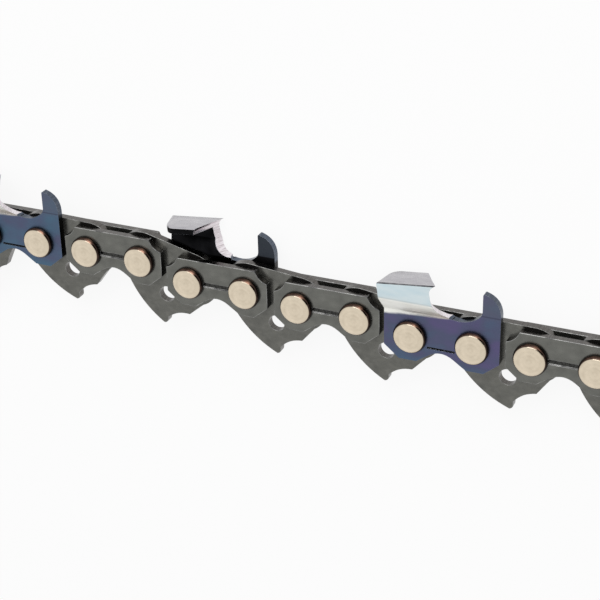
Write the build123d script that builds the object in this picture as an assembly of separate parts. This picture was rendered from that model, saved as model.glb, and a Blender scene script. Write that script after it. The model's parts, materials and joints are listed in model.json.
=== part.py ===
"""A closed loop of saw chain, lying on its side as it comes to rest.

Drive links with tangs alternate with side links, all joined by rivets. A side link is a pair of tie
straps, or one tie strap and one cutter; the cutters stand on the upper and the lower side in turn.
Every link is modelled about its own middle: x along the chain towards the leading end, y outwards
from the loop and z along the rivets. The links are then laid along the loop, rivet to rivet.
Sizes are in millimetres and angles in degrees.
"""
from build123d import *
import math
import os

# Loop: two equal halves, each a loose run of links followed by an even bend
HALF_LOOP_PITCHES = 14
RUN_DRIVE_TILTS = (-1.2, -14.4, -5.4, -8.1, -0.3)

# Pitches, plate thicknesses and the play between pieces that turn on each other
DRIVE_PITCH = 8.92
SIDE_PITCH = 9.72
DRIVE_THICKNESS = 1.3
SIDE_THICKNESS = 1.15
SIDE_PLAY = 0.05
HUB_PLAY = 0.05
RIVET_FIT = 0.02

# Room left between the ends of neighbouring links on a straight run
DRIVE_END_GAP = 0.52
STRAP_END_GAP = 1.14
CUTTER_END_GAP = 0.83

# Rivet: neck in the side plates, wider hub in the drive link, spun heads outside
NECK_RADIUS = 1.9
HUB_SHOULDER = 0.5
HEAD_LAP = 0.7
HEAD_HEIGHT = 0.8
HEAD_CHAMFER = 0.4

# Drive link: heel and hooked tang below the rivets, and the oil hole
HEEL_TURN = 53.5
HEEL_REACH = 0.84
TANG_DEPTH = 9.85
TANG_TIP_OFFSET = 1.3
TANG_BACK_TURN = 65.0
TANG_BACK_BULGE = 0.7
HOOK_WIDTH = 0.55
HOOK_HEIGHT = 1.35
HEEL_RISE = 3.45
HOOK_HOLLOW = 0.42
OIL_HOLE_RADIUS = 1.3
OIL_HOLE_OFFSET = 0.8
OIL_HOLE_DEPTH = 4.5

# Side plates: the outline below the rivets that straps and cutters share, and the strap's top
PLATE_DEPTH = 4.1
PLATE_END_FLAT = 2.1
PLATE_FOOT_CUT = 2.4
ARCH_WIDTH = 7.8
ARCH_CROWN = 3.8
ARCH_SPRING = 1.4
ARCH_RISE = 2.05
STRAP_HEIGHT = 4.0
STRAP_SHOULDER_CUT = 2.0
STRAP_SHOULDER_HOLLOW = 0.35

# Cutter: a plate bent outwards and over into the top plate, with the depth gauge ahead of it
CUTTER_FLARE = 1.35
FLARE_START = 4.2
FLARE_RISE = 2.2
FLARE_LEAD = 2.6
BEND_RADIUS = 0.9
TOP_PLATE_WIDTH = 4.6
TOP_PLATE_HEIGHT = 9.8
TOP_PLATE_FALL = 6.2
TOP_PLATE_ANGLE = 30.0
TOP_CORNER_RADIUS = 0.15
REAR_LEAN = 4.4
REAR_SWEEP = 15.0
FILE_RADIUS = 1.4
FILE_DROP = 1.2
FILE_RAMP = 55.0
CUTTING_CORNER = -0.4
GULLET_START = 1.2
GULLET_SCOOP = 0.6
GULLET_RISE = 0.8
GAUGE_HEIGHT = 9.05
GAUGE_WIDTH = 2.8
GAUGE_CROWN = 3.1
GAUGE_TIP = 0.45
GAUGE_FOOT_WIDTH = 0.6
GAUGE_FOOT_RISE = 1.2

# Sizes that follow from those above
DRIVE_END_RADIUS = (SIDE_PITCH - DRIVE_END_GAP) / 2
STRAP_OVERHANG = (DRIVE_PITCH - STRAP_END_GAP) / 2
CUTTER_OVERHANG = DRIVE_PITCH - STRAP_OVERHANG - CUTTER_END_GAP
HUB_RADIUS = NECK_RADIUS + HUB_SHOULDER
HEAD_RADIUS = NECK_RADIUS + HEAD_LAP
INNER_FACE = DRIVE_THICKNESS / 2 + SIDE_PLAY
OUTER_FACE = INNER_FACE + SIDE_THICKNESS
HEAD_FACE = OUTER_FACE + HEAD_HEIGHT
CUTTER_FACE = OUTER_FACE + CUTTER_FLARE
MID_HEIGHT = max(CUTTER_FACE, HEAD_FACE)


def bulged(start, end, bulge):
    """An arc from start to end whose middle stands off to the left of that direction."""
    along = Vector(end) - Vector(start)
    left = Vector(-along.Y, along.X).normalized()
    middle = (Vector(start) + Vector(end)) * 0.5 + left * bulge
    return ThreePointArc(start, middle, end)


def plate(outline, low, high):
    """The flat plate that a closed outline encloses, between two heights along the rivets."""
    return Pos(0, 0, low) * extrude(make_face(outline), high - low)


def rivet_holes(pitch, radius):
    """Two pins that cut the rivet holes of a link."""
    pin = Cylinder(radius, 4 * OUTER_FACE)
    return [Pos(-pitch / 2, 0) * pin, Pos(pitch / 2, 0) * pin]


def drive_link():
    """Round-ended plate with the hooked tang that runs in the bar's groove and carries oil."""
    half = DRIVE_PITCH / 2
    radius = DRIVE_END_RADIUS
    heel_turn = math.radians(HEEL_TURN)
    back_turn = math.radians(TANG_BACK_TURN)
    heel_top = (half + radius * math.cos(heel_turn), -radius * math.sin(heel_turn))
    heel = (half + HEEL_REACH, HEEL_RISE - TANG_DEPTH)
    hook_side = TANG_TIP_OFFSET + HOOK_WIDTH
    hook_top = (hook_side, HOOK_HEIGHT - TANG_DEPTH)
    hook_foot = (hook_side, HOOK_WIDTH - TANG_DEPTH)
    tip = (TANG_TIP_OFFSET, -TANG_DEPTH)
    back = (-half - radius * math.cos(back_turn), -radius * math.sin(back_turn))
    outline = [
        Line((-half, radius), (half, radius)),
        ThreePointArc((half, radius), (half + radius, 0), heel_top),
        Line(heel_top, heel),
        bulged(heel, hook_top, -HOOK_HOLLOW),
        Line(hook_top, hook_foot),
        bulged(hook_foot, tip, HOOK_WIDTH / 5),
        bulged(tip, back, TANG_BACK_BULGE),
        ThreePointArc(back, (-half - radius, 0), (-half, radius)),
    ]
    body = plate(outline, -DRIVE_THICKNESS / 2, DRIVE_THICKNESS / 2)
    oil_hole = Pos(OIL_HOLE_OFFSET, -OIL_HOLE_DEPTH) * Cylinder(OIL_HOLE_RADIUS, 4 * OUTER_FACE)
    return body - rivet_holes(DRIVE_PITCH, HUB_RADIUS + HUB_PLAY) - oil_hole


def plate_foot(end):
    """The lower edge of a side plate from its leading end to its trailing end, arched in the middle."""
    arch = ARCH_WIDTH / 2
    crown = ARCH_CROWN / 2
    spring = ARCH_SPRING - PLATE_DEPTH
    return [
        Line((end, -PLATE_END_FLAT), (end - PLATE_FOOT_CUT, -PLATE_DEPTH)),
        Line((end - PLATE_FOOT_CUT, -PLATE_DEPTH), (arch, -PLATE_DEPTH)),
        Line((arch, -PLATE_DEPTH), (crown, spring)),
        ThreePointArc((crown, spring), (0, ARCH_RISE - PLATE_DEPTH), (-crown, spring)),
        Line((-crown, spring), (-arch, -PLATE_DEPTH)),
        Line((-arch, -PLATE_DEPTH), (PLATE_FOOT_CUT - end, -PLATE_DEPTH)),
        Line((PLATE_FOOT_CUT - end, -PLATE_DEPTH), (-end, -PLATE_END_FLAT)),
    ]


def tie_strap():
    """Upper tie strap: a flat stamped plate with hollowed shoulders."""
    end = SIDE_PITCH / 2 + STRAP_OVERHANG
    shoulder = end - STRAP_SHOULDER_CUT
    outline = plate_foot(end) + [
        Line((-end, -PLATE_END_FLAT), (-end, PLATE_END_FLAT)),
        bulged((-end, PLATE_END_FLAT), (-shoulder, STRAP_HEIGHT), -STRAP_SHOULDER_HOLLOW),
        Line((-shoulder, STRAP_HEIGHT), (shoulder, STRAP_HEIGHT)),
        bulged((shoulder, STRAP_HEIGHT), (end, PLATE_END_FLAT), -STRAP_SHOULDER_HOLLOW),
        Line((end, PLATE_END_FLAT), (end, -PLATE_END_FLAT)),
    ]
    body = plate(outline, INNER_FACE, OUTER_FACE)
    return body - rivet_holes(SIDE_PITCH, NECK_RADIUS + RIVET_FIT)


def cutter_body(end):
    """The cutter's flat chassis: plate foot, scooped gullet and the depth gauge at the leading end."""
    gauge_back = end - GAUGE_WIDTH
    gauge_side = GAUGE_HEIGHT - GAUGE_CROWN
    scoop_end = (gauge_back - GAUGE_FOOT_WIDTH, FLARE_START + GULLET_RISE)
    gauge_foot = (gauge_back, FLARE_START + GULLET_RISE + GAUGE_FOOT_RISE)
    tip_back = GAUGE_HEIGHT - GAUGE_TIP
    scoop = bulged((GULLET_START, FLARE_START), scoop_end, -GULLET_SCOOP)
    outline = plate_foot(end) + [
        Line((-end, -PLATE_END_FLAT), (-end, FLARE_START)),
        Line((-end, FLARE_START), (GULLET_START, FLARE_START)),
        scoop,
        TangentArc(scoop_end, gauge_foot, tangent=scoop % 1),
        Line(gauge_foot, (gauge_back, tip_back)),
        RadiusArc((gauge_back, tip_back), (gauge_back + GAUGE_TIP, GAUGE_HEIGHT), GAUGE_TIP),
        bulged((gauge_back + GAUGE_TIP, GAUGE_HEIGHT), (end, gauge_side), GAUGE_TIP),
        Line((end, gauge_side), (end, -PLATE_END_FLAT)),
    ]
    return plate(outline, INNER_FACE, OUTER_FACE)


def bent_plate(end):
    """The part of the cutter that is bent out above the chassis and over into the sloping top plate."""
    fall = math.radians(TOP_PLATE_FALL)
    front_top = TOP_PLATE_HEIGHT + FLARE_LEAD * math.tan(fall)
    front_under = front_top - SIDE_THICKNESS
    wall_top = front_under - SIDE_THICKNESS
    wall_inside = CUTTER_FACE - SIDE_THICKNESS
    free_edge = CUTTER_FACE - TOP_PLATE_WIDTH
    inner_middle = INNER_FACE + SIDE_THICKNESS / 2
    outer_middle = inner_middle + CUTTER_FLARE

    # Sections across the plate, drawn at its leading end: sketch x is z of the link, sketch y is y
    section = Plane(origin=(FLARE_LEAD, 0, 0), x_dir=(0, 0, 1), z_dir=(-1, 0, 0))
    flare_path = FilletPolyline(
        (inner_middle, PLATE_END_FLAT),
        (inner_middle, FLARE_START),
        (outer_middle, FLARE_START + FLARE_RISE),
        (outer_middle, wall_top),
        radius=BEND_RADIUS,
    )
    hood_section = make_face(Polyline(
        (CUTTER_FACE, wall_top - SIDE_THICKNESS / 2),
        (CUTTER_FACE, front_top),
        (free_edge, front_top),
        (free_edge, front_under),
        (wall_inside, front_under),
        (wall_inside, wall_top - SIDE_THICKNESS / 2),
        close=True,
    ))
    top_corner = hood_section.vertices().sort_by_distance((CUTTER_FACE, front_top))[0]
    hood_section = fillet(top_corner, TOP_CORNER_RADIUS)
    length = FLARE_LEAD + 2 * end
    slope = (-math.cos(fall), -math.sin(fall), 0)
    flare = extrude(section * trace(flare_path, SIDE_THICKNESS), length, dir=(-1, 0, 0))
    hood = extrude(section * hood_section, length / math.cos(fall), dir=slope)

    # The trailing end is trimmed to one face that leans back with height and outwards
    back = (1, math.tan(math.radians(REAR_LEAN)), math.tan(math.radians(REAR_SWEEP)))
    rear_face = Plane(origin=(-end, FLARE_START, OUTER_FACE), z_dir=back)
    return split(flare + hood, rear_face, keep=Keep.TOP)


def file_stroke(end):
    """What a round file, held at the top plate angle, takes off ahead of the cutting edge."""
    lead = math.radians(TOP_PLATE_ANGLE)
    ramp = math.radians(FILE_RAMP)
    edge_back = math.sqrt(FILE_RADIUS**2 - FILE_DROP**2)
    file_plane = Plane(
        origin=(CUTTING_CORNER + edge_back / math.cos(lead), TOP_PLATE_HEIGHT - FILE_DROP, CUTTER_FACE),
        x_dir=(math.cos(lead), 0, -math.sin(lead)),
        z_dir=(math.sin(lead), 0, math.cos(lead)),
    )
    reach = 2 * end
    ramp_top = (-FILE_RADIUS * math.sin(ramp), -FILE_RADIUS * math.cos(ramp))
    ramp_foot = (ramp_top[0] + end * math.cos(ramp), ramp_top[1] - end * math.sin(ramp))
    room_ahead = make_face(Polyline(
        (0, 0), ramp_top, ramp_foot, (reach, ramp_foot[1]), (reach, reach), (0, reach), close=True,
    ))
    return extrude(file_plane * (Circle(FILE_RADIUS) + room_ahead), reach, both=True)


def cutter():
    """Upper cutter: one stamped plate with its depth gauge, bent out and over and sharpened by file."""
    end = SIDE_PITCH / 2 + CUTTER_OVERHANG
    body = cutter_body(end) + (bent_plate(end) - file_stroke(end))
    return body - rivet_holes(SIDE_PITCH, NECK_RADIUS + RIVET_FIT)


def rivet():
    """Shouldered rivet: the hub turns in the drive link and both necks are spun over into heads."""
    face_radius = HEAD_RADIUS - HEAD_CHAMFER
    upper = [
        (HUB_RADIUS, INNER_FACE),
        (NECK_RADIUS, INNER_FACE),
        (NECK_RADIUS, OUTER_FACE),
        (HEAD_RADIUS, OUTER_FACE),
        (HEAD_RADIUS, HEAD_FACE - HEAD_CHAMFER),
        (face_radius, HEAD_FACE),
        (0, HEAD_FACE),
    ]
    lower = [(radius, -height) for radius, height in reversed(upper)]
    profile = make_face(Polyline(*lower, *upper, close=True))
    return revolve(Plane.XZ * profile, Axis.Z)


def loop_headings():
    """Heading of each link of the loop in turn, side link first, starting on the loose run."""
    half = []
    for tilt in RUN_DRIVE_TILTS:
        half += [0.0, tilt]
    half.append(0.0)
    bend_links = 2 * HALF_LOOP_PITCHES - len(half)
    half += [-180.0 * turn / (bend_links + 1) for turn in range(1, bend_links + 1)]
    return half + [heading - 180.0 for heading in half]


def loop_places():
    """Where each link of the loop lies: a location at its middle, turned to its heading."""
    headings = loop_headings()
    rivets = [Vector(0, 0)]
    for index, heading in enumerate(headings):
        pitch = DRIVE_PITCH if index % 2 else SIDE_PITCH
        rivets.append(rivets[-1] + Vector(pitch, 0).rotate(Axis.Z, heading))
    centre = (rivets[0] + rivets[len(headings) // 2]) * 0.5
    places = []
    for index, heading in enumerate(headings):
        middle = (rivets[index] + rivets[index + 1]) * 0.5 - centre
        places.append(Pos(middle.X, middle.Y, MID_HEIGHT) * Rot(0, 0, heading))
    return places


def main():
    os.makedirs("parts", exist_ok=True)
    drive = drive_link()
    upper_strap = tie_strap()
    upper_cutter = cutter()
    lower_strap = mirror(upper_strap, Plane.XY)
    lower_cutter = mirror(upper_cutter, Plane.XY)
    pin = rivet()
    rivets = [Pos(-SIDE_PITCH / 2, 0) * pin, Pos(SIDE_PITCH / 2, 0) * pin]
    side_links = [
        ("right_cutter_link", [upper_cutter, lower_strap] + rivets),
        ("tie_link", [upper_strap, lower_strap] + rivets),
        ("left_cutter_link", [upper_strap, lower_cutter] + rivets),
        ("tie_link", [upper_strap, lower_strap] + rivets),
    ]
    for index, place in enumerate(loop_places()):
        number = index // 2
        if index % 2:
            name, pieces = "drive_link", [drive]
        else:
            name, pieces = side_links[number % len(side_links)]
        link = Compound(children=[place * piece for piece in pieces])
        export_step(link, f"parts/{name}_{number + 1:02d}.step")


main()
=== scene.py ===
"""Looks of a closed saw chain loop that lies on its side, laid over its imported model."""
import json
import math
import bpy
from mathutils import Matrix, Vector

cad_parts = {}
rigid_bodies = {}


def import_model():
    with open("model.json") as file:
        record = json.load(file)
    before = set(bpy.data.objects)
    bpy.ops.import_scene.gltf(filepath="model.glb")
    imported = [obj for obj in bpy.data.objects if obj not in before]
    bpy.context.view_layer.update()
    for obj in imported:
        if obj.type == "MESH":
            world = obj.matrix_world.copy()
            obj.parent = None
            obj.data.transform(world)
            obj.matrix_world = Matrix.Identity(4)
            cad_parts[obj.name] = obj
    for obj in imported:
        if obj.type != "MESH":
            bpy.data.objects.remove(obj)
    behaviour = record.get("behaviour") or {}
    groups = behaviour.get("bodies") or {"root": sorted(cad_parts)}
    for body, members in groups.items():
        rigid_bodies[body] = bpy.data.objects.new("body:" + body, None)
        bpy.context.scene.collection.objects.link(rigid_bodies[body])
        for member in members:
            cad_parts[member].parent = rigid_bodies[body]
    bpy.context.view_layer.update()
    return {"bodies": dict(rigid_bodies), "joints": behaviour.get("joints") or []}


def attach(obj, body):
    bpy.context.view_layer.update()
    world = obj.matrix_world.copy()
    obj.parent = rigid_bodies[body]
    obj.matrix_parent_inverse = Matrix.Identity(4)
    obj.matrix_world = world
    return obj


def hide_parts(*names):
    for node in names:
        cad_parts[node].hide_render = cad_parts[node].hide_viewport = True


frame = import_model()

# Drive links. Flat plates of dull tempered steel, 1.3 mm thick, each with a hooked tang that runs in the
# guide bar's groove. They are punched from strip and tumbled, so faces stay grey and edges turn dark; the
# edges at the round ends and the faces' upper ends there are painted black as shade.
# Every pattern piece is shaped in millimetres about its own link's middle.
DRIVE_PITCH = 8.92
DRIVE_END_RADIUS = 4.6
DRIVE_HALF_THICKNESS = 0.65
DRIVE_HOLE_RADIUS = 2.45
TANG_TIP = (1.3, -9.85)
HOOK_FOOT = (1.85, -9.3)
HOOK_TOP = (1.85, -8.5)
HEEL = (5.3, -6.4)
OIL_HOLE = (0.8, -4.5)
OIL_HOLE_RADIUS = 1.3
TANG_BACK = (-6.404, -4.169)
DRIVE_ARRIS = 0.1


def round_end(centre, radius, start, finish, steps):
    """Corners along a rounded end, from one angle to another in degrees."""
    corners = []
    for step in range(steps + 1):
        angle = math.radians(start + (finish - start) * step / steps)
        corners.append((centre[0] + radius * math.cos(angle), centre[1] + radius * math.sin(angle)))
    return corners


def bow(start, finish, rise, steps):
    """Corners along a shallow curve, ends left out, whose middle stands off to the left by its rise."""
    along = Vector(finish) - Vector(start)
    left = Vector((-along.y, along.x)).normalized()
    corners = []
    for step in range(1, steps):
        share = step / steps
        point = Vector(start) + along * share + left * (4 * rise * share * (1 - share))
        corners.append((point.x, point.y))
    return corners


def take(piece):
    """The piece alone is selected and active, ready to be worked on."""
    bpy.ops.object.select_all(action="DESELECT")
    piece.select_set(True)
    bpy.context.view_layer.objects.active = piece


def mark_out(name, outline, height):
    """A flat sheet with its corners along an outline, at one height along the rivets."""
    bpy.ops.object.select_all(action="DESELECT")
    bpy.ops.mesh.primitive_circle_add(vertices=len(outline), fill_type="NGON")
    sheet = bpy.context.object
    sheet.name = name
    for corner, (x, y) in zip(sheet.data.vertices, outline):
        corner.co = (x, y, height)
    return sheet


def punch(name, outline, low, high):
    """A plate punched to an outline, between two heights along the rivets."""
    plate = mark_out(name, outline, low)
    bpy.ops.object.mode_set(mode="EDIT")
    bpy.ops.mesh.select_all(action="SELECT")
    bpy.ops.mesh.extrude_region_move(TRANSFORM_OT_translate={"value": (0, 0, high - low)})
    bpy.ops.mesh.select_all(action="SELECT")
    bpy.ops.mesh.normals_make_consistent(inside=False)
    bpy.ops.object.mode_set(mode="OBJECT")
    return plate


def cut_away(piece, tool):
    """Takes the tool's shape out of a piece; faces left by the tool keep its finish."""
    cut = piece.modifiers.new("cut", "BOOLEAN")
    cut.operation = "DIFFERENCE"
    cut.solver = "EXACT"
    cut.use_self = True
    cut.object = tool
    take(piece)
    bpy.ops.object.modifier_apply(modifier=cut.name)
    bpy.data.objects.remove(tool)


def drill(piece, x, y, radius):
    """A round hole along the rivets."""
    bpy.ops.object.select_all(action="DESELECT")
    bpy.ops.mesh.primitive_cylinder_add(vertices=40, radius=radius, depth=12, location=(x, y, 0))
    pin = bpy.context.object
    for finish in piece.data.materials:
        pin.data.materials.append(finish)
    for side in pin.data.polygons:
        side.material_index = min(1, len(pin.data.materials) - 1)
    cut_away(piece, pin)


def drill_pair(piece, pitch, radius):
    """The two rivet holes of a link."""
    drill(piece, -pitch / 2, 0, radius)
    drill(piece, pitch / 2, 0, radius)


def part_faces(piece, finishes):
    """Flat faces take the first finish and punched edges the second; the third waits for the arrises."""
    for finish in finishes:
        piece.data.materials.append(finish)
    for side in piece.data.polygons:
        side.material_index = 0 if abs(side.normal.z) > 0.9 else 1


def keep_places(piece):
    """Stores where each point lies on its own link, in millimetres, for the finishes to read."""
    places = piece.data.attributes.new("link_place", "FLOAT_VECTOR", "POINT")
    for vertex in piece.data.vertices:
        places.data[vertex.index].vector = vertex.co


def break_edges(piece, width):
    """Rounds sharp edges by a hair, as tumbling does; faces that this doubles in tight corners go."""
    take(piece)
    bpy.ops.object.shade_smooth()
    arris = piece.modifiers.new("arris", "BEVEL")
    arris.width = width
    arris.segments = 2
    arris.limit_method = "ANGLE"
    arris.angle_limit = math.radians(32)
    arris.harden_normals = True
    arris.material = 2
    bpy.ops.object.modifier_apply(modifier=arris.name)
    piece.data.validate()
    keep_places(piece)


def new_finish(name):
    """A finish, its nodes and links, its shader, and a point's place on its own link."""
    finish = bpy.data.materials.new(name)
    finish.use_nodes = True
    nodes = finish.node_tree.nodes
    links = finish.node_tree.links
    place = nodes.new("ShaderNodeAttribute")
    place.attribute_name = "link_place"
    return finish, nodes, links, nodes["Principled BSDF"], place.outputs["Vector"]


def stretched_noise(nodes, links, place, stretch, detail):
    """Noise drawn out along one way of the link; stretch is its fineness each way per millimetre."""
    mapping = nodes.new("ShaderNodeMapping")
    mapping.inputs["Scale"].default_value = stretch
    links.new(place, mapping.inputs["Vector"])
    noise = nodes.new("ShaderNodeTexNoise")
    noise.inputs["Scale"].default_value = 1.0
    noise.inputs["Detail"].default_value = detail
    links.new(mapping.outputs["Vector"], noise.inputs["Vector"])
    return noise.outputs["Fac"]


def ramp_between(nodes, links, factor, stops):
    """Colours along a ramp: each stop is a place from 0 to 1 and a colour."""
    ramp = nodes.new("ShaderNodeValToRGB")
    band = ramp.color_ramp
    while len(band.elements) < len(stops):
        band.elements.new(0.5)
    for element, (place, colour) in zip(band.elements, stops):
        element.position = place
        element.color = (*colour, 1)
    links.new(factor, ramp.inputs["Fac"])
    return ramp.outputs["Color"]


def range_of(nodes, links, factor, low, high):
    """Brings a 0 to 1 pattern to a range of its own."""
    spread = nodes.new("ShaderNodeMapRange")
    spread.inputs["From Min"].default_value = 0.3
    spread.inputs["From Max"].default_value = 0.7
    spread.inputs["To Min"].default_value = low
    spread.inputs["To Max"].default_value = high
    links.new(factor, spread.inputs["Value"])
    return spread.outputs["Result"]


def grain_bump(nodes, links, shader, height, strength, distance):
    """Raises the surface by a pattern."""
    bump = nodes.new("ShaderNodeBump")
    bump.inputs["Strength"].default_value = strength
    bump.inputs["Distance"].default_value = distance
    links.new(height, bump.inputs["Height"])
    links.new(bump.outputs["Normal"], shader.inputs["Normal"])


def join_colours(nodes, links, share, first, second):
    """From one colour to another by a share; a colour is a pattern's socket or a plain value."""
    mix = nodes.new("ShaderNodeMix")
    mix.data_type = "RGBA"
    links.new(share, mix.inputs["Factor"])
    for colour, socket in ((first, mix.inputs["A"]), (second, mix.inputs["B"])):
        if isinstance(colour, tuple):
            socket.default_value = (*colour, 1)
        else:
            links.new(colour, socket)
    return mix.outputs["Result"]


def calculate(nodes, links, operation, first, second, third=None):
    """One sum on two or three numbers; each is a pattern's socket or a plain value."""
    step = nodes.new("ShaderNodeMath")
    step.operation = operation
    for number, socket in zip((first, second, third), step.inputs):
        if isinstance(number, (int, float)):
            socket.default_value = number
        elif number is not None:
            links.new(number, socket)
    return step.outputs["Value"]


def rise_over(nodes, links, value, start, finish):
    """A soft step from 0 to 1 as a value goes from start to finish."""
    step = nodes.new("ShaderNodeMapRange")
    step.interpolation_type = "SMOOTHSTEP"
    step.inputs["From Min"].default_value = start
    step.inputs["From Max"].default_value = finish
    links.new(value, step.inputs["Value"])
    return step.outputs["Result"]


def along_link(nodes, links, place):
    """A point's place along its link and its height above the rivets, as two numbers."""
    axes = nodes.new("ShaderNodeSeparateXYZ")
    links.new(place, axes.inputs["Vector"])
    return axes.outputs["X"], axes.outputs["Y"]


def rolled_steel(name, dark, light, rough, brush, shaded_ends=False):
    """Steel strip: a faint mottle under fine rolling lines; its upper ends can be painted near black as
    shade.
    """
    finish, nodes, links, shader, place = new_finish(name)
    mottle = stretched_noise(nodes, links, place, (0.55, 0.7, 0.7), 4.0)
    lines = stretched_noise(nodes, links, place, brush, 3.0)
    colour = ramp_between(nodes, links, mottle, [(0.3, dark), (0.7, light)])
    if shaded_ends:
        along, height = along_link(nodes, links, place)
        # Painted shade: the faces' upper ends near the round ends go near black, for the dark strap edges
        # that the glossy face would mirror there.
        end = rise_over(nodes, links, calculate(nodes, links, "ABSOLUTE", along, 0), 2.5, 3.1)
        end_shade = calculate(nodes, links, "MULTIPLY", end, rise_over(nodes, links, height, 3.3, 3.8))
        colour = join_colours(nodes, links, end_shade, colour, (0.016, 0.015, 0.014))
    links.new(colour, shader.inputs["Base Color"])
    links.new(range_of(nodes, links, lines, rough - 0.06, rough + 0.06), shader.inputs["Roughness"])
    grain_bump(nodes, links, shader, lines, 0.18, 0.000012)
    shader.inputs["Metallic"].default_value = 0.9
    return finish


def punched_edge(name, dark, light):
    """The edge of a punched plate: half glossy, with shear lines across it, and painted black at the ends as
    shade.
    """
    finish, nodes, links, shader, place = new_finish(name)
    shear = stretched_noise(nodes, links, place, (5.0, 5.0, 0.4), 3.0)
    along, height = along_link(nodes, links, place)
    # Painted shade: edge faces near the plate's ends, below its top, are painted black for the dark
    # surroundings they would mirror.
    end = rise_over(nodes, links, calculate(nodes, links, "ABSOLUTE", along, 0), 8.2, 8.8)
    low = rise_over(nodes, links, height, 5.0, 4.6)
    colour = ramp_between(nodes, links, shear, [(0.35, dark), (0.75, light)])
    black = calculate(nodes, links, "MULTIPLY", end, low)
    links.new(join_colours(nodes, links, black, colour, (0.005, 0.005, 0.005)), shader.inputs["Base Color"])
    links.new(range_of(nodes, links, shear, 0.2, 0.3), shader.inputs["Roughness"])
    grain_bump(nodes, links, shader, shear, 0.15, 0.00001)
    shader.inputs["Metallic"].default_value = 1.0
    return finish


def worn_and_painted_arris(name, dark, light):
    """The tumbled edge between face and side, rubbed bright in places; its bright stops are partly painted
    highlight, and dark stops paint shade.
    """
    finish, nodes, links, shader, place = new_finish(name)
    rub_and_sheen = stretched_noise(nodes, links, place, (0.9, 0.9, 0.9), 5.0)
    # The bright stops are partly real rubbing and partly a painted highlight along the edge.
    links.new(ramp_between(nodes, links, rub_and_sheen, [(0.35, dark), (0.65, light)]), shader.inputs["Base Color"])
    links.new(range_of(nodes, links, rub_and_sheen, 0.3, 0.42), shader.inputs["Roughness"])
    shader.inputs["Metallic"].default_value = 0.9
    return finish


tempered_grey = rolled_steel(
    "tempered_grey", (0.105, 0.105, 0.096), (0.155, 0.154, 0.140), 0.28, (0.5, 9.0, 9.0), shaded_ends=True)
tempered_edge = punched_edge("tempered_edge", (0.085, 0.08, 0.075), (0.17, 0.16, 0.15))
tempered_arris = worn_and_painted_arris("tempered_arris", (0.11, 0.11, 0.105), (0.32, 0.32, 0.31))

drive_outline = (
    round_end((DRIVE_PITCH / 2, 0), DRIVE_END_RADIUS, 90, -53.5, 22)
    + [HEEL]
    + bow(HEEL, HOOK_TOP, -0.42, 8)
    + [HOOK_TOP, HOOK_FOOT]
    + bow(HOOK_FOOT, TANG_TIP, 0.11, 4)
    + [TANG_TIP]
    + bow(TANG_TIP, TANG_BACK, 0.7, 10)
    + round_end((-DRIVE_PITCH / 2, 0), DRIVE_END_RADIUS, 245, 90, 24)
)
drive_pattern = punch("drive_link_pattern", drive_outline, -DRIVE_HALF_THICKNESS, DRIVE_HALF_THICKNESS)
part_faces(drive_pattern, [tempered_grey, tempered_edge, tempered_arris])
drill_pair(drive_pattern, DRIVE_PITCH, DRIVE_HOLE_RADIUS)
drill(drive_pattern, *OIL_HOLE, OIL_HOLE_RADIUS)
break_edges(drive_pattern, DRIVE_ARRIS)

# The open pivot has no joint, and lies across the loop's middle from its twin 14 links before it
pivots = {joint["name"]: Vector(joint["pos_m"]) for joint in frame["joints"]}
twin = pivots["drive_link_04_rear_pivot"]
pivots["drive_link_18_rear_pivot"] = Vector((-twin.x, -twin.y, twin.z))
LINK_PAIRS = 28


def link_place(rear, front):
    """Brings a pattern piece from millimetres about its link's middle to its place between two pivots."""
    along = front - rear
    middle = Matrix.Translation((rear + front) / 2)
    return middle @ Matrix.Rotation(math.atan2(along.y, along.x), 4, "Z") @ Matrix.Scale(0.001, 4)


def lay(pattern, name, place, body):
    """A copy of a pattern piece, with its own mesh, laid in its place on a link."""
    piece = bpy.data.objects.new(name, pattern.data.copy())
    bpy.context.collection.objects.link(piece)
    piece.data.transform(place)
    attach(piece, body)
    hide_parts(body)
    return piece


for number in range(1, LINK_PAIRS + 1):
    body = f"drive_link_{number:02d}"
    place = link_place(pivots[body + "_rear_pivot"], pivots[body + "_front_pivot"])
    lay(drive_pattern, f"drive_plate_{number:02d}", place, body)
bpy.data.objects.remove(drive_pattern)

# Tie straps. Flat side plates of dark oxidised steel, 1.15 mm thick, two to a plain side link and one
# opposite each cutter. They are punched, arched below, hollowed at the shoulders, and carry a short
# stamped line between the rivets. The rivets hold them fast.
SIDE_PITCH = 9.72
STRAP_END = 8.75
INNER_FACE = 0.7
OUTER_FACE = 1.85
PLATE_HOLE_RADIUS = 1.92
STAMPED_LINE_LENGTH = 4.1
STAMPED_LINE_WIDTH = 0.75
STAMPED_LINE_DEPTH = 0.2
STRAP_LINE_HEIGHT = 0.1
STRAP_ARRIS = 0.09
END_HEIGHT = 2.1
FOOT_DEPTH = 4.1
FOOT_CHAMFER = 2.4
ARCH_FOOT = 3.9
ARCH_SHOULDER = (1.9, -2.7)
SHOULDER = (6.75, 4.0)
SHOULDER_HOLLOW = 0.35

oxide_face = rolled_steel("oxide_face", (0.118, 0.119, 0.109), (0.158, 0.159, 0.145), 0.26, (0.6, 7.0, 7.0))
oxide_edge = punched_edge("oxide_edge", (0.095, 0.09, 0.086), (0.18, 0.17, 0.16))
oxide_arris = worn_and_painted_arris("oxide_arris", (0.1, 0.1, 0.1), (0.34, 0.34, 0.33))
# The stamped line's colours are painted shade: near-black walls for the contact shadow in it, and a floor
# darker than the face for the shade in the recess; on the cutters the whole line is near black.
stamped_shade = punched_edge("stamped_shade", (0.006, 0.006, 0.006), (0.022, 0.022, 0.022))
stamped_floor = punched_edge("stamped_floor", (0.022, 0.022, 0.021), (0.07, 0.07, 0.066))


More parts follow.
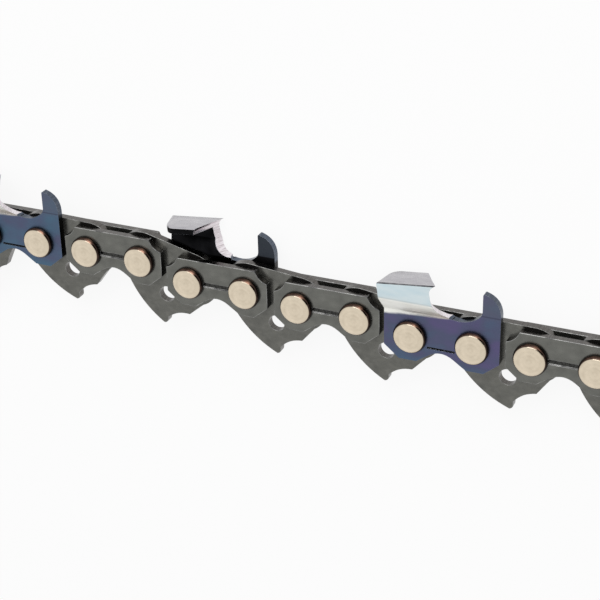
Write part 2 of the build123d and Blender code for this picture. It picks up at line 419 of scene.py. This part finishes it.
def plate_foot(end):
    """The lower edge that straps and cutters share, from the leading end to the trailing end."""
    leading = [(end, -END_HEIGHT), (end - FOOT_CHAMFER, -FOOT_DEPTH), (ARCH_FOOT, -FOOT_DEPTH), ARCH_SHOULDER]
    trailing = [(-x, y) for x, y in reversed(leading)]
    return leading + bow(leading[-1], trailing[0], -0.65, 8) + trailing


def stamp_line(piece, y, face, width, finishes):
    """A short round-ended line stamped into a plate; finishes are for its floor first and its wall last."""
    half = STAMPED_LINE_LENGTH / 2
    radius = width / 2
    outline = round_end((half, y), radius, -90, 90, 6) + round_end((-half, y), radius, 90, 270, 6)
    stamp = punch("stamp", outline, face - STAMPED_LINE_DEPTH, face + STAMPED_LINE_DEPTH)
    floor_index = len(piece.data.materials)
    for finish in finishes:
        piece.data.materials.append(finish)
    for finish in piece.data.materials:
        stamp.data.materials.append(finish)
    wall_index = len(piece.data.materials) - 1
    for side in stamp.data.polygons:
        side.material_index = floor_index if abs(side.normal.z) > 0.5 else wall_index
    cut_away(piece, stamp)


def turn_over(piece, name):
    """The lower plate of a pair: the upper one mirrored across the chain."""
    lower = bpy.data.objects.new(name, piece.data.copy())
    bpy.context.collection.objects.link(lower)
    lower.data.transform(Matrix.Scale(-1, 4, (0, 0, 1)))
    take(lower)
    bpy.ops.object.mode_set(mode="EDIT")
    bpy.ops.mesh.select_all(action="SELECT")
    bpy.ops.mesh.remove_doubles(threshold=0.0005)
    bpy.ops.mesh.normals_make_consistent(inside=False)
    bpy.ops.object.mode_set(mode="OBJECT")
    return lower


rear_shoulder = (-SHOULDER[0], SHOULDER[1])
strap_outline = (
    plate_foot(STRAP_END)
    + [(-STRAP_END, END_HEIGHT)]
    + bow((-STRAP_END, END_HEIGHT), rear_shoulder, -SHOULDER_HOLLOW, 6)
    + [rear_shoulder, SHOULDER]
    + bow(SHOULDER, (STRAP_END, END_HEIGHT), -SHOULDER_HOLLOW, 6)
    + [(STRAP_END, END_HEIGHT)]
)
upper_strap = punch("strap_pattern", strap_outline, INNER_FACE, OUTER_FACE)
part_faces(upper_strap, [oxide_face, oxide_edge, oxide_arris])
drill_pair(upper_strap, SIDE_PITCH, PLATE_HOLE_RADIUS)
stamp_line(upper_strap, STRAP_LINE_HEIGHT, OUTER_FACE, STAMPED_LINE_WIDTH, [stamped_floor, stamped_shade])
lower_strap = turn_over(upper_strap, "lower_strap_pattern")
break_edges(upper_strap, STRAP_ARRIS)
break_edges(lower_strap, STRAP_ARRIS)

side_links = {}
for body in frame["bodies"]:
    if not body.startswith("drive"):
        side_links[int(body[-2:])] = body


def side_place(number):
    """A side link lies between the drive links behind and ahead of it."""
    behind = (number - 2) % LINK_PAIRS + 1
    rear = pivots[f"drive_link_{behind:02d}_front_pivot"]
    front = pivots[f"drive_link_{number:02d}_rear_pivot"]
    return link_place(rear, front)


for number, body in side_links.items():
    if not body.startswith("right_cutter"):
        lay(upper_strap, f"upper_strap_{number:02d}", side_place(number), body)
    if not body.startswith("left_cutter"):
        lay(lower_strap, f"lower_strap_{number:02d}", side_place(number), body)
bpy.data.objects.remove(upper_strap)
bpy.data.objects.remove(lower_strap)

# Cutters. One stamped plate each, with the depth gauge at its leading end, bent out and over into the
# top plate. The steel is blued by heat, the bent part is hard chromed outside, and a round file has
# ground the leading edge bright.
CUTTER_END = 9.06
CUTTER_THICKNESS = 1.15
CUTTER_FACE = 3.2
FLARE_START = 4.2
FLARE_TOP = 6.4
BEND_SETBACK = 0.25
TOP_HEIGHT = 9.8
TOP_FALL = math.tan(math.radians(6.2))
TOP_FREE_EDGE = -1.4
TOP_REAR_ROUND = 1.4
TOP_CORNER_WEAR = 0.16
TOP_EDGE_ROUND = 0.25
GULLET_START = 1.2
FLARE_FRONT = 1.3
GAUGE_BACK = 6.26
GAUGE_LINE = 5.5
FILE_RADIUS = 1.45
FILE_CENTRE = (0.05, 8.4)
FILE_ANGLE = math.radians(26)
FILE_SWEEP_START = (-1.363, -0.496)
FILE_SWEEP_END = (1.6, -4.08)
FILE_REACH = 4.2
FILE_RUN_OUT = -4.15
FILE_TOP = 4.0
GAUGE_TIP_ROUND = 0.22
GAUGE_FRONT_HEIGHT = 5.95
CUTTER_LINE_HEIGHT = -1.4
CUTTER_LINE_WIDTH = STAMPED_LINE_WIDTH * 0.45
CUTTER_ARRIS = 0.06


def line_at(nodes, links, value, middle, half_width):
    """A thin soft line where a value passes its middle."""
    off = calculate(nodes, links, "SUBTRACT", value, middle)
    away = calculate(nodes, links, "ABSOLUTE", off, 0)
    return rise_over(nodes, links, away, half_width, half_width * 0.3)


def blued_and_chromed():
    """Outside of a cutter: plate blued by heat, and hard chrome on the bent part, stained at its edge."""
    finish, nodes, links, shader, place = new_finish("blued_and_chromed")
    along, height = along_link(nodes, links, place)

    # Heat tint in slow clouds; each cutter lies a little further along the colours than the last
    turn = nodes.new("ShaderNodeAttribute")
    turn.attribute_name = "blueing"
    cloud = stretched_noise(nodes, links, place, (0.2, 0.3, 0.3), 2.0)
    tint = calculate(nodes, links, "MULTIPLY_ADD", turn.outputs["Fac"], 0.35, cloud)
    foot = rise_over(nodes, links, height, -2.2, -4.2)
    tint = calculate(nodes, links, "MULTIPLY_ADD", foot, -0.3, tint)
    blue = ramp_between(nodes, links, tint, [
        (0.42, (0.072, 0.128, 0.192)), (0.62, (0.078, 0.108, 0.172)),
        (0.78, (0.085, 0.094, 0.158)), (0.96, (0.100, 0.089, 0.180))])
    gauge = calculate(nodes, links, "MULTIPLY", rise_over(nodes, links, height, 4.6, 6.2), 0.6)
    blue = join_colours(nodes, links, gauge, blue, (0.100, 0.110, 0.148))
    # Painted shade: a dark line across the gauge for the shade of its bend line.
    across_gauge = line_at(nodes, links, height, GAUGE_LINE, 0.16)
    on_gauge = rise_over(nodes, links, along, 5.6, 6.4)
    bend_line_shade = calculate(nodes, links, "MULTIPLY", across_gauge, on_gauge)
    bend_line_shade = calculate(nodes, links, "MULTIPLY", bend_line_shade, 0.6)
    blue = join_colours(nodes, links, bend_line_shade, blue, (0.05, 0.05, 0.08))

    # Chrome: pale blue on the side wall, cream on the flare, both painted as the reflections these faces
    # show, drawn out in streaks near its foot
    pale = stretched_noise(nodes, links, place, (0.25, 0.8, 0.8), 3.0)
    wall = ramp_between(nodes, links, pale, [(0.3, (0.56, 0.68, 0.73)), (0.7, (0.66, 0.74, 0.76))])
    flare = ramp_between(nodes, links, pale, [(0.3, (0.88, 0.88, 0.83)), (0.7, (0.97, 0.97, 0.93))])
    on_wall = rise_over(nodes, links, height, 6.1, 6.5)
    chrome = join_colours(nodes, links, on_wall, flare, wall)
    # Painted shade: a grey band along the bend between flare and side wall.
    crease_shade = calculate(nodes, links, "MULTIPLY", line_at(nodes, links, height, 6.35, 0.22), 0.35)
    chrome = join_colours(nodes, links, crease_shade, chrome, (0.40, 0.43, 0.43))
    drawn_out = stretched_noise(nodes, links, place, (0.16, 7.0, 2.0), 3.0)
    streaks = rise_over(nodes, links, drawn_out, 0.5, 0.66)
    low_flare = rise_over(nodes, links, height, 5.7, 4.6)
    forward = rise_over(nodes, links, along, -8.0, -3.0)
    streaked = calculate(nodes, links, "MULTIPLY", streaks, low_flare)
    streaked = calculate(nodes, links, "MULTIPLY", streaked, forward)
    streaked = calculate(nodes, links, "MULTIPLY", streaked, 0.75)
    chrome = join_colours(nodes, links, streaked, chrome, (0.34, 0.34, 0.30))

    # The plating ends in a soft wandering line, browned towards the leading end
    slope = calculate(nodes, links, "MULTIPLY_ADD", along, -0.09, height)
    wander = calculate(nodes, links, "MULTIPLY_ADD", pale, 0.5, slope)
    tide = rise_over(nodes, links, wander, 4.1, 4.6)
    behind_gauge = rise_over(nodes, links, along, 4.2, 3.0)
    chromed = calculate(nodes, links, "MULTIPLY", tide, behind_gauge)
    plated = join_colours(nodes, links, chromed, blue, chrome)
    low = rise_over(nodes, links, height, 5.6, 4.5)
    ahead = rise_over(nodes, links, along, -4.5, 1.0)
    stained = calculate(nodes, links, "MULTIPLY", low, ahead)
    stained = calculate(nodes, links, "MULTIPLY", stained, chromed)
    stained = calculate(nodes, links, "MULTIPLY", stained, 0.7)
    links.new(join_colours(nodes, links, stained, plated, (0.36, 0.27, 0.20)), shader.inputs["Base Color"])

    lines = stretched_noise(nodes, links, place, (0.5, 8.0, 8.0), 3.0)
    links.new(range_of(nodes, links, lines, 0.36, 0.46), shader.inputs["Roughness"])
    grain_bump(nodes, links, shader, lines, 0.12, 0.00001)
    links.new(calculate(nodes, links, "MULTIPLY_ADD", chromed, -0.4, 1.0), shader.inputs["Metallic"])
    return finish


def filed_steel():
    """Fresh ground steel: pale, with fine stripes along the file's stroke."""
    finish, nodes, links, shader, place = new_finish("filed_steel")
    stripes = stretched_noise(nodes, links, place, (0.6, 9.0, 0.5), 4.0)
    links.new(ramp_between(nodes, links, stripes, [(0.3, (0.50, 0.44, 0.46)), (0.6, (0.86, 0.81, 0.84))]),
              shader.inputs["Base Color"])
    links.new(range_of(nodes, links, stripes, 0.16, 0.3), shader.inputs["Roughness"])
    grain_bump(nodes, links, shader, stripes, 0.25, 0.000015)
    shader.inputs["Metallic"].default_value = 1.0
    return finish


def oxide_and_shade_inside():
    """Inside of a cutter: black oxide, painted near black as the shade under the hood, rubbed to a blue grey
    on the upper half of the gauge.
    """
    finish, nodes, links, shader, place = new_finish("oxide_and_shade_inside")
    along, height = along_link(nodes, links, place)
    mottle = stretched_noise(nodes, links, place, (0.5, 0.6, 0.6), 3.0)
    # The near black is black oxide with painted shade over it.
    black = ramp_between(nodes, links, mottle, [
        (0.3, (0.0035, 0.0035, 0.004)), (0.7, (0.008, 0.008, 0.009))])
    above_line = rise_over(nodes, links, height, GAUGE_LINE - 0.1, GAUGE_LINE + 0.1)
    on_gauge = rise_over(nodes, links, along, 4.0, 6.0)
    upper_gauge = calculate(nodes, links, "MULTIPLY", above_line, on_gauge)
    rubbed = join_colours(nodes, links, upper_gauge, black, (0.036, 0.042, 0.052))
    links.new(rubbed, shader.inputs["Base Color"])
    links.new(range_of(nodes, links, mottle, 0.24, 0.36), shader.inputs["Roughness"])
    shader.inputs["Metallic"].default_value = 1.0
    return finish


def plated_top():
    """Outside of the top plate: dull hard chrome, painted grey with a breath of lavender as the greyer
    surroundings it mirrors.
    """
    finish, nodes, links, shader, place = new_finish("plated_top")
    mottle = stretched_noise(nodes, links, place, (0.5, 0.5, 1.6), 4.0)
    links.new(ramp_between(nodes, links, mottle, [(0.3, (0.45, 0.44, 0.465)), (0.7, (0.55, 0.54, 0.56))]),
              shader.inputs["Base Color"])
    fine = stretched_noise(nodes, links, place, (2.0, 9.0, 9.0), 3.0)
    links.new(range_of(nodes, links, fine, 0.24, 0.36), shader.inputs["Roughness"])
    grain_bump(nodes, links, shader, fine, 0.12, 0.00001)
    shader.inputs["Metallic"].default_value = 1.0
    return finish


cutter_finishes = [
    blued_and_chromed(),
    punched_edge("cutter_edge", (0.06, 0.075, 0.10), (0.12, 0.14, 0.18)),
    worn_and_painted_arris("cutter_arris", (0.10, 0.11, 0.14), (0.36, 0.38, 0.42)),
    filed_steel(),
    oxide_and_shade_inside(),
    plated_top(),
    # Painted shade: the rubbed-down corner above the side wall is coloured dark along its length.
    worn_and_painted_arris("corner_shade", (0.03, 0.03, 0.033), (0.17, 0.17, 0.175)),
]
FILED_FINISH = 3
INSIDE_FINISH = 4
TOP_FINISH = 5
CORNER_FINISH = 6

# The flat sheet of the plate and gauge, at the middle of its thickness
scoop_end = (GAUGE_BACK - 0.6, 5.0)
cutter_outline = (
    plate_foot(CUTTER_END)
    + [(-CUTTER_END, FLARE_START), (GULLET_START, FLARE_START)]
    + bow((GULLET_START, FLARE_START), scoop_end, -0.6, 10)
    + [scoop_end]
    + bow(scoop_end, (GAUGE_BACK, 6.2), -0.16, 5)
    + [(GAUGE_BACK, 6.2), (GAUGE_BACK, 8.6)]
    + round_end((GAUGE_BACK + GAUGE_TIP_ROUND, 8.86), GAUGE_TIP_ROUND, 180, 75, 5)
    + bow((GAUGE_BACK + 0.3, 9.07), (CUTTER_END, GAUGE_FRONT_HEIGHT), 0.7, 8)
    + [(CUTTER_END, GAUGE_FRONT_HEIGHT)]
)
upper_cutter = mark_out("cutter_pattern", cutter_outline, (INNER_FACE + OUTER_FACE) / 2)

# The edge behind the gullet is drawn up in three bends: flare, side wall and top plate
rear_lean = math.tan(math.radians(7.5))
rear_sweep = math.tan(math.radians(15))
wall_middle = CUTTER_FACE - CUTTER_THICKNESS / 2


def rear_end(y, z):
    """Where the leaning trailing face of the bent part lies at a height and width."""
    return -CUTTER_END - rear_lean * (y - FLARE_START) - rear_sweep * (z - OUTER_FACE)


def top_middle(x):
    """Height of the middle of the sloping top plate."""
    return TOP_HEIGHT + x * TOP_FALL - CUTTER_THICKNESS / 2


bends = [
    (FLARE_TOP, FLARE_TOP, wall_middle),
    (top_middle(-CUTTER_END - 0.7), top_middle(FLARE_FRONT), wall_middle),
    (top_middle(-CUTTER_END + 0.3), top_middle(FLARE_FRONT), TOP_FREE_EDGE),
]
take(upper_cutter)
bpy.ops.object.mode_set(mode="EDIT")
bpy.ops.mesh.select_all(action="SELECT")
bpy.ops.mesh.normals_make_consistent(inside=False)
bpy.ops.object.mode_set(mode="OBJECT")
if upper_cutter.data.polygons[0].normal.z < 0:
    upper_cutter.data.flip_normals()
rear_corner = len(plate_foot(CUTTER_END))
front_corner = rear_corner + 1


def pick(piece, kind, wanted):
    """Selects the piece's corners or edges that are wanted, and nothing else."""
    take(piece)
    bpy.ops.object.mode_set(mode="EDIT")
    bpy.ops.mesh.select_mode(type=kind)
    bpy.ops.mesh.select_all(action="DESELECT")
    bpy.ops.object.mode_set(mode="OBJECT")
    for member in piece.data.vertices if kind == "VERT" else piece.data.edges:
        member.select = wanted(member)
    bpy.ops.object.mode_set(mode="EDIT")


def ends_of(edge):
    """Where the two ends of one of the cutter's edges lie."""
    return [upper_cutter.data.vertices[index].co for index in edge.vertices]


pick(upper_cutter, "EDGE", lambda edge: set(edge.vertices) == {rear_corner, front_corner})
for rear_height, front_height, width in bends:
    bpy.ops.object.mode_set(mode="EDIT")
    bpy.ops.mesh.extrude_region_move(TRANSFORM_OT_translate={"value": (0, 0, 0)})
    bpy.ops.object.mode_set(mode="OBJECT")
    drawn = sorted((v for v in upper_cutter.data.vertices if v.select), key=lambda v: v.co.x)
    drawn[0].co = (rear_end(rear_height, width), rear_height, width)
    drawn[1].co = (FLARE_FRONT, front_height, width)

# The free corner and the two lower bends are rounded, and the sheet gets its thickness
pick(upper_cutter, "VERT", lambda corner: abs(corner.co.z - TOP_FREE_EDGE) < 0.01 and corner.co.x < 0)
bpy.ops.mesh.bevel(offset=TOP_REAR_ROUND, segments=6, affect="VERTICES")
bpy.ops.object.mode_set(mode="OBJECT")
pick(upper_cutter, "EDGE", lambda edge: all(
    FLARE_START - 0.1 < end.y < FLARE_TOP + 0.1 and end.z > INNER_FACE for end in ends_of(edge)
) and abs(ends_of(edge)[0].x - ends_of(edge)[1].x) > 8)
bpy.ops.mesh.bevel(offset=BEND_SETBACK, segments=3, affect="EDGES")
bpy.ops.object.mode_set(mode="OBJECT")
for finish in cutter_finishes:
    upper_cutter.data.materials.append(finish)
sheet = upper_cutter.modifiers.new("sheet", "SOLIDIFY")
sheet.thickness = CUTTER_THICKNESS
sheet.offset = 0
sheet.use_even_offset = True
sheet.use_quality_normals = True
sheet.material_offset = INSIDE_FINISH
sheet.material_offset_rim = 1
take(upper_cutter)
bpy.ops.object.modifier_apply(modifier=sheet.name)
# The top plate's outside takes its own finish; the bent part's cut edges take the inside's near black, which
# is painted shade.
for side in upper_cutter.data.polygons:
    if side.material_index == 0 and side.normal.y > 0.9 and side.center.y > FLARE_TOP:
        side.material_index = TOP_FINISH
    elif side.material_index == 1 and side.center.y > FLARE_TOP and side.center.x < GULLET_START + 0.5:
        side.material_index = INSIDE_FINISH

# The top plate's free edges are eased, the corner above the side wall is rubbed down and painted dark
# as shade, and the file sweeps out the gullet
edges_of = {TOP_FINISH: set(), INSIDE_FINISH: set()}
for side in upper_cutter.data.polygons:
    if side.material_index in edges_of:
        edges_of[side.material_index].update(side.edge_keys)
free_edges = edges_of[TOP_FINISH] & edges_of[INSIDE_FINISH]
pick(upper_cutter, "EDGE", lambda edge: edge.key in free_edges)
bpy.ops.mesh.bevel(offset=TOP_EDGE_ROUND, segments=2, affect="EDGES", material=TOP_FINISH)
bpy.ops.object.mode_set(mode="OBJECT")
pick(upper_cutter, "EDGE", lambda edge: all(
    end.z > CUTTER_FACE - 0.03 and end.y > TOP_HEIGHT + end.x * TOP_FALL - 0.1 for end in ends_of(edge)))
bpy.ops.mesh.bevel(offset=TOP_CORNER_WEAR, segments=2, affect="EDGES", material=CORNER_FINISH)
bpy.ops.object.mode_set(mode="OBJECT")
stroke_outline = (
    round_end((0, 0), FILE_RADIUS, 90, 200, 10)
    + bow(FILE_SWEEP_START, FILE_SWEEP_END, -0.85, 12)
    + [FILE_SWEEP_END, (FILE_REACH, FILE_RUN_OUT), (FILE_REACH, FILE_TOP), (0, FILE_TOP)]
)
stroke = punch("file_stroke", stroke_outline, -8, 8)
stroke_place = Matrix.Translation((*FILE_CENTRE, CUTTER_FACE)) @ Matrix.Rotation(FILE_ANGLE, 4, "Y")
stroke.data.transform(stroke_place)
for finish in cutter_finishes:
    stroke.data.materials.append(finish)
for side in stroke.data.polygons:
    side.material_index = FILED_FINISH
cut_away(upper_cutter, stroke)
drill_pair(upper_cutter, SIDE_PITCH, PLATE_HOLE_RADIUS)
stamp_line(upper_cutter, CUTTER_LINE_HEIGHT, OUTER_FACE, CUTTER_LINE_WIDTH, [stamped_shade])
lower_cutter = turn_over(upper_cutter, "lower_cutter_pattern")
break_edges(upper_cutter, CUTTER_ARRIS)
break_edges(lower_cutter, CUTTER_ARRIS)
for number, body in side_links.items():
    if body.startswith("right_cutter"):
        cutter = lay(upper_cutter, f"right_cutter_{number:02d}", side_place(number), body)
    elif body.startswith("left_cutter"):
        cutter = lay(lower_cutter, f"left_cutter_{number:02d}", side_place(number), body)
    else:
        continue
    blueing = cutter.data.attributes.new("blueing", "FLOAT", "POINT")
    for reading in blueing.data:
        reading.value = 0.5 - 0.5 * math.cos(0.8 * number)
bpy.data.objects.remove(upper_cutter)
bpy.data.objects.remove(lower_cutter)

# Rivets. Shouldered pins of hard steel: the wide hub turns in the drive links, the necks sit tight in the
# side plates, and both ends are spun over into heads. The tool leaves the face bright, with faint rings.
# The rounded rim is painted dark brown over its oxide as the dark crescent it mirrors, and its foot is
# painted black as contact shadow.
HUB_RADIUS = 2.4
NECK_RADIUS = 1.9
HEAD_FOOT = 2.55
HEAD_FACE = 2.8
HEAD_FLAT = 1.95
HEAD_RIM = 0.7


def spun_head():
    """Bright champagne face with the spinning tool's faint rings, and a rim painted dark brown over its oxide
    as the shade it mirrors, black at its foot as painted contact shadow.
    """
    finish, nodes, links, shader, place = new_finish("spun_head")
    flat = nodes.new("ShaderNodeVectorMath")
    flat.operation = "MULTIPLY"
    flat.inputs[1].default_value = (1, 1, 0)
    links.new(place, flat.inputs[0])
    radius = nodes.new("ShaderNodeVectorMath")
    radius.operation = "LENGTH"
    links.new(flat.outputs["Vector"], radius.inputs[0])
    out = radius.outputs["Value"]
    mottle = stretched_noise(nodes, links, place, (0.7, 0.7, 0.7), 4.0)
    unsteady = calculate(nodes, links, "MULTIPLY_ADD", mottle, 0.35, out)
    wave = calculate(nodes, links, "SINE", calculate(nodes, links, "MULTIPLY", unsteady, 9.5), 0)
    rings = calculate(nodes, links, "MULTIPLY_ADD", wave, 0.5, 0.5)
    shade = calculate(nodes, links, "MULTIPLY_ADD", rings, 0.09, mottle)
    face = ramp_between(nodes, links, shade, [
        (0.3, (0.56, 0.48, 0.37)), (0.55, (0.65, 0.565, 0.44)), (0.85, (0.74, 0.64, 0.50))])
    oxide = stretched_noise(nodes, links, place, (0.5, 0.5, 0.5), 2.0)
    # The rim's dark brown is partly oxide and partly painted shade, the dark crescent that a bright rim would
    # mirror.
    rim = ramp_between(nodes, links, oxide, [
        (0.3, (0.020, 0.014, 0.012)), (0.5, (0.055, 0.034, 0.027)), (0.7, (0.21, 0.115, 0.08))])
    depth = nodes.new("ShaderNodeSeparateXYZ")
    links.new(place, depth.inputs["Vector"])
    below = calculate(nodes, links, "ABSOLUTE", depth.outputs["Z"], 0)
    edge = rise_over(nodes, links, below, HEAD_FACE - 0.10, HEAD_FACE - 0.18)
    # Painted shadow: the rim's foot is black as the contact shadow on the plate.
    foot = rise_over(nodes, links, below, OUTER_FACE + 0.22, OUTER_FACE + 0.14)
    rim = join_colours(nodes, links, foot, rim, (0.006, 0.005, 0.005))
    links.new(join_colours(nodes, links, edge, face, rim), shader.inputs["Base Color"])
    links.new(range_of(nodes, links, mottle, 0.14, 0.24), shader.inputs["Roughness"])
    grain_bump(nodes, links, shader, rings, 0.05, 0.00002)
    shader.inputs["Metallic"].default_value = 1.0
    return finish


half_profile = (
    [(HUB_RADIUS, 0), (HUB_RADIUS, INNER_FACE), (NECK_RADIUS, INNER_FACE), (NECK_RADIUS, OUTER_FACE)]
    + [(HEAD_FOOT, OUTER_FACE)]
    + round_end((HEAD_FLAT, HEAD_FACE - HEAD_RIM), HEAD_RIM, -15, 90, 9)
    + [(1.25, HEAD_FACE - 0.012), (0.6, HEAD_FACE - 0.03), (0.25, HEAD_FACE - 0.03)]
)
bpy.ops.object.select_all(action="DESELECT")
bpy.ops.mesh.primitive_circle_add(vertices=2 * len(half_profile) - 1, fill_type="NOTHING")
rivet_pattern = bpy.context.object
rivet_pattern.name = "rivet_pattern"
lower_profile = [(radius, -height) for radius, height in reversed(half_profile[1:])]
for corner, (radius, height) in zip(rivet_pattern.data.vertices, lower_profile + half_profile):
    corner.co = (radius, 0, height)
bpy.ops.object.mode_set(mode="EDIT")
bpy.ops.mesh.select_all(action="DESELECT")
bpy.ops.object.mode_set(mode="OBJECT")
for edge in rivet_pattern.data.edges:
    ends = [rivet_pattern.data.vertices[index].co for index in edge.vertices]
    edge.select = abs(ends[0].z - ends[1].z) > 2 * OUTER_FACE
bpy.ops.object.mode_set(mode="EDIT")
bpy.ops.mesh.delete(type="EDGE")
bpy.ops.mesh.select_all(action="SELECT")
bpy.ops.mesh.spin(steps=36, angle=math.tau, center=(0, 0, 0), axis=(0, 0, 1))
bpy.ops.mesh.select_all(action="SELECT")
bpy.ops.mesh.remove_doubles(threshold=0.0005)
bpy.ops.mesh.select_all(action="DESELECT")
bpy.ops.mesh.select_non_manifold()
bpy.ops.mesh.edge_face_add()
bpy.ops.mesh.select_all(action="SELECT")
bpy.ops.mesh.normals_make_consistent(inside=False)
bpy.ops.object.mode_set(mode="OBJECT")
rivet_pattern.data.materials.append(spun_head())
take(rivet_pattern)
bpy.ops.object.shade_smooth_by_angle(angle=math.radians(35))
keep_places(rivet_pattern)
for number, body in side_links.items():
    for end, side in (("rear", -1), ("front", 1)):
        place = side_place(number) @ Matrix.Translation((side * SIDE_PITCH / 2, 0, 0))
        lay(rivet_pattern, f"{end}_rivet_{number:02d}", place, body)
bpy.data.objects.remove(rivet_pattern)

# Setting. A plain white floor that keeps the shadow, one soft lamp behind the run, a dark card out of sight
# for the rivet rims to mirror, and the camera above the loose run.
LAMP_AIM = Vector((0, 0.05, 0))


def seen_directly(nodes, links):
    """1 for rays that come straight or by a mirror or clear thing from the camera, and 0 for stray light."""
    rays = nodes.new("ShaderNodeLightPath")
    seen = rays.outputs["Is Camera Ray"]
    for kind in ("Is Glossy Ray", "Is Transmission Ray"):
        either = nodes.new("ShaderNodeMath")
        either.operation = "ADD"
        either.use_clamp = True
        links.new(seen, either.inputs[0])
        links.new(rays.outputs[kind], either.inputs[1])
        seen = either.outputs["Value"]
    return seen


bpy.ops.object.select_all(action="DESELECT")
bpy.ops.mesh.primitive_plane_add(size=6, location=(0, 0, -0.0004))
floor = bpy.context.object
floor.name = "floor"
paper = bpy.data.materials.new("white_paper")
paper.use_nodes = True
nodes, links = paper.node_tree.nodes, paper.node_tree.links
nodes.remove(nodes["Principled BSDF"])
matt = nodes.new("ShaderNodeBsdfDiffuse")
matt.inputs["Color"].default_value = (0.9, 0.9, 0.9, 1)
glow = nodes.new("ShaderNodeEmission")
share = calculate(nodes, links, "MULTIPLY", seen_directly(nodes, links), 0.9)
mixed = nodes.new("ShaderNodeMixShader")
links.new(share, mixed.inputs["Fac"])
links.new(matt.outputs["BSDF"], mixed.inputs[1])
links.new(glow.outputs["Emission"], mixed.inputs[2])
links.new(mixed.outputs["Shader"], nodes["Material Output"].inputs["Surface"])
floor.data.materials.append(paper)

world = bpy.data.worlds.new("white_studio")
bpy.context.scene.world = world
world.use_nodes = True
nodes, links = world.node_tree.nodes, world.node_tree.links
strength = nodes.new("ShaderNodeMapRange")
strength.inputs["To Min"].default_value = 0.6
strength.inputs["To Max"].default_value = 1.0
links.new(seen_directly(nodes, links), strength.inputs["Value"])
nodes["Background"].inputs["Color"].default_value = (1, 1, 1, 1)
links.new(strength.outputs["Result"], nodes["Background"].inputs["Strength"])

lamp = bpy.data.lights.new("soft_lamp", "AREA")
lamp.energy = 2.0
lamp.size = 0.45
soft_lamp = bpy.data.objects.new("soft_lamp", lamp)
soft_lamp.location = (-0.02, 0.56, 0.33)
soft_lamp.rotation_euler = (LAMP_AIM - soft_lamp.location).to_track_quat("-Z", "Y").to_euler()
bpy.context.collection.objects.link(soft_lamp)

bpy.ops.object.select_all(action="DESELECT")
bpy.ops.mesh.primitive_plane_add(size=0.4, location=(0.36, 0.32, 0.36))
dark_card = bpy.context.object
dark_card.name = "dark_card"
dark_card.rotation_euler = (LAMP_AIM - dark_card.location).to_track_quat("Z", "Y").to_euler()
felt = bpy.data.materials.new("black_felt")
felt.use_nodes = True
felt_shader = felt.node_tree.nodes["Principled BSDF"]
felt_shader.inputs["Base Color"].default_value = (0.01, 0.008, 0.007, 1)
felt_shader.inputs["Roughness"].default_value = 1.0
dark_card.data.materials.append(felt)
dark_card.visible_camera = False
dark_card.visible_diffuse = False
dark_card.visible_shadow = False
dark_card.visible_transmission = False

camera = bpy.data.cameras.new("camera")
camera.lens = 96.25
camera.clip_start = 0.01
camera_object = bpy.data.objects.new("camera", camera)
forward = Vector((-0.366, -0.461, -0.808)).normalized()
right = forward.cross(Vector((-0.169, 0.887, -0.429))).normalized()
upward = right.cross(forward)
stand = Vector((0.094777, 0.166854, 0.203397))
camera_object.matrix_world = Matrix((
    (right.x, upward.x, -forward.x, stand.x),
    (right.y, upward.y, -forward.y, stand.y),
    (right.z, upward.z, -forward.z, stand.z),
    (0, 0, 0, 1),
))
bpy.context.collection.objects.link(camera_object)
bpy.context.scene.camera = camera_object
bpy.context.scene.view_settings.view_transform = "Standard"
